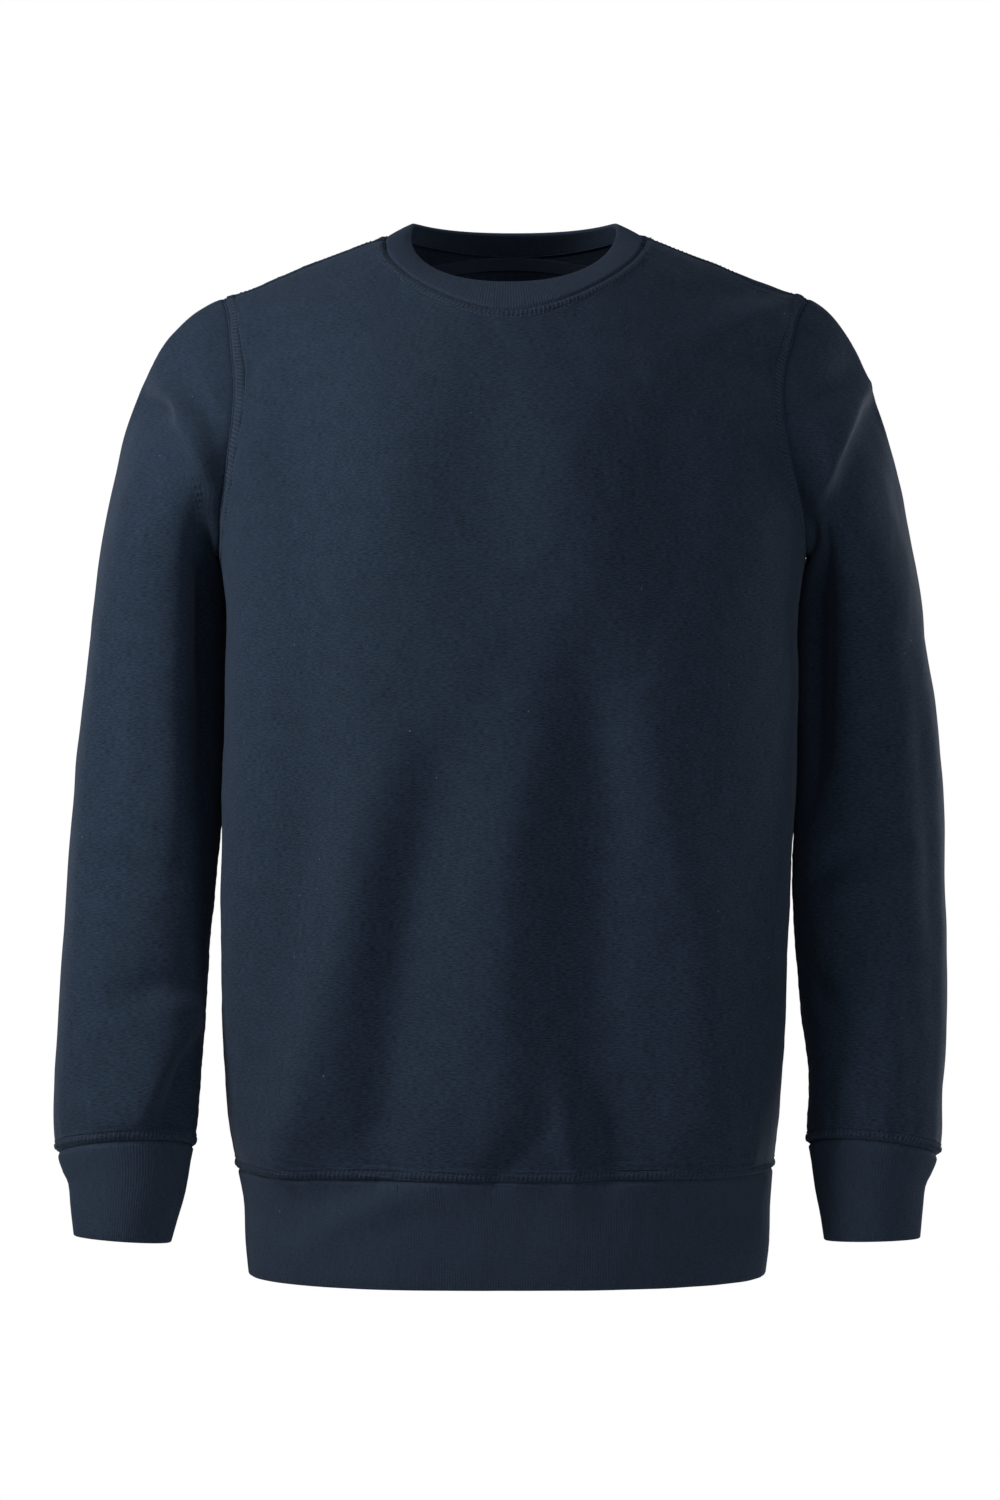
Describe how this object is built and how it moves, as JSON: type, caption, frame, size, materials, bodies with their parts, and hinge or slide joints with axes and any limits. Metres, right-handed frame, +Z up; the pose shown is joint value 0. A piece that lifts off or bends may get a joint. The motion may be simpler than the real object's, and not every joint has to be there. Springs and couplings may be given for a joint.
{
  "type": "crewneck sweatshirt",
  "caption": "Long-sleeved crewneck sweatshirt in its worn shape, hollow and open at neck, hem and cuffs, with ribbed neckband, cuffs and waistband.",
  "frame": {"origin": "middle of the neck opening, level with the two side-neck points where the wearer's shoulders carry the garment", "axes": "+Z up towards the neck, -Y towards the front, +X towards the wearer's left sleeve"},
  "size_m": [0.6126, 0.2678, 0.724],
  "materials": {
    "fleece": "brushed knit",
    "rib_knit": "ribbed knit",
    "neck_tape": "woven herringbone"
  },
  "bodies": {
    "root": {"front": "fleece", "back": "fleece", "sleeve_left": "fleece", "sleeve_right": "fleece", "cuff_left": "rib_knit", "cuff_right": "rib_knit", "waistband": "rib_knit", "neckband": "rib_knit", "neck_tape": "neck_tape"}
  },
  "joints": []
}
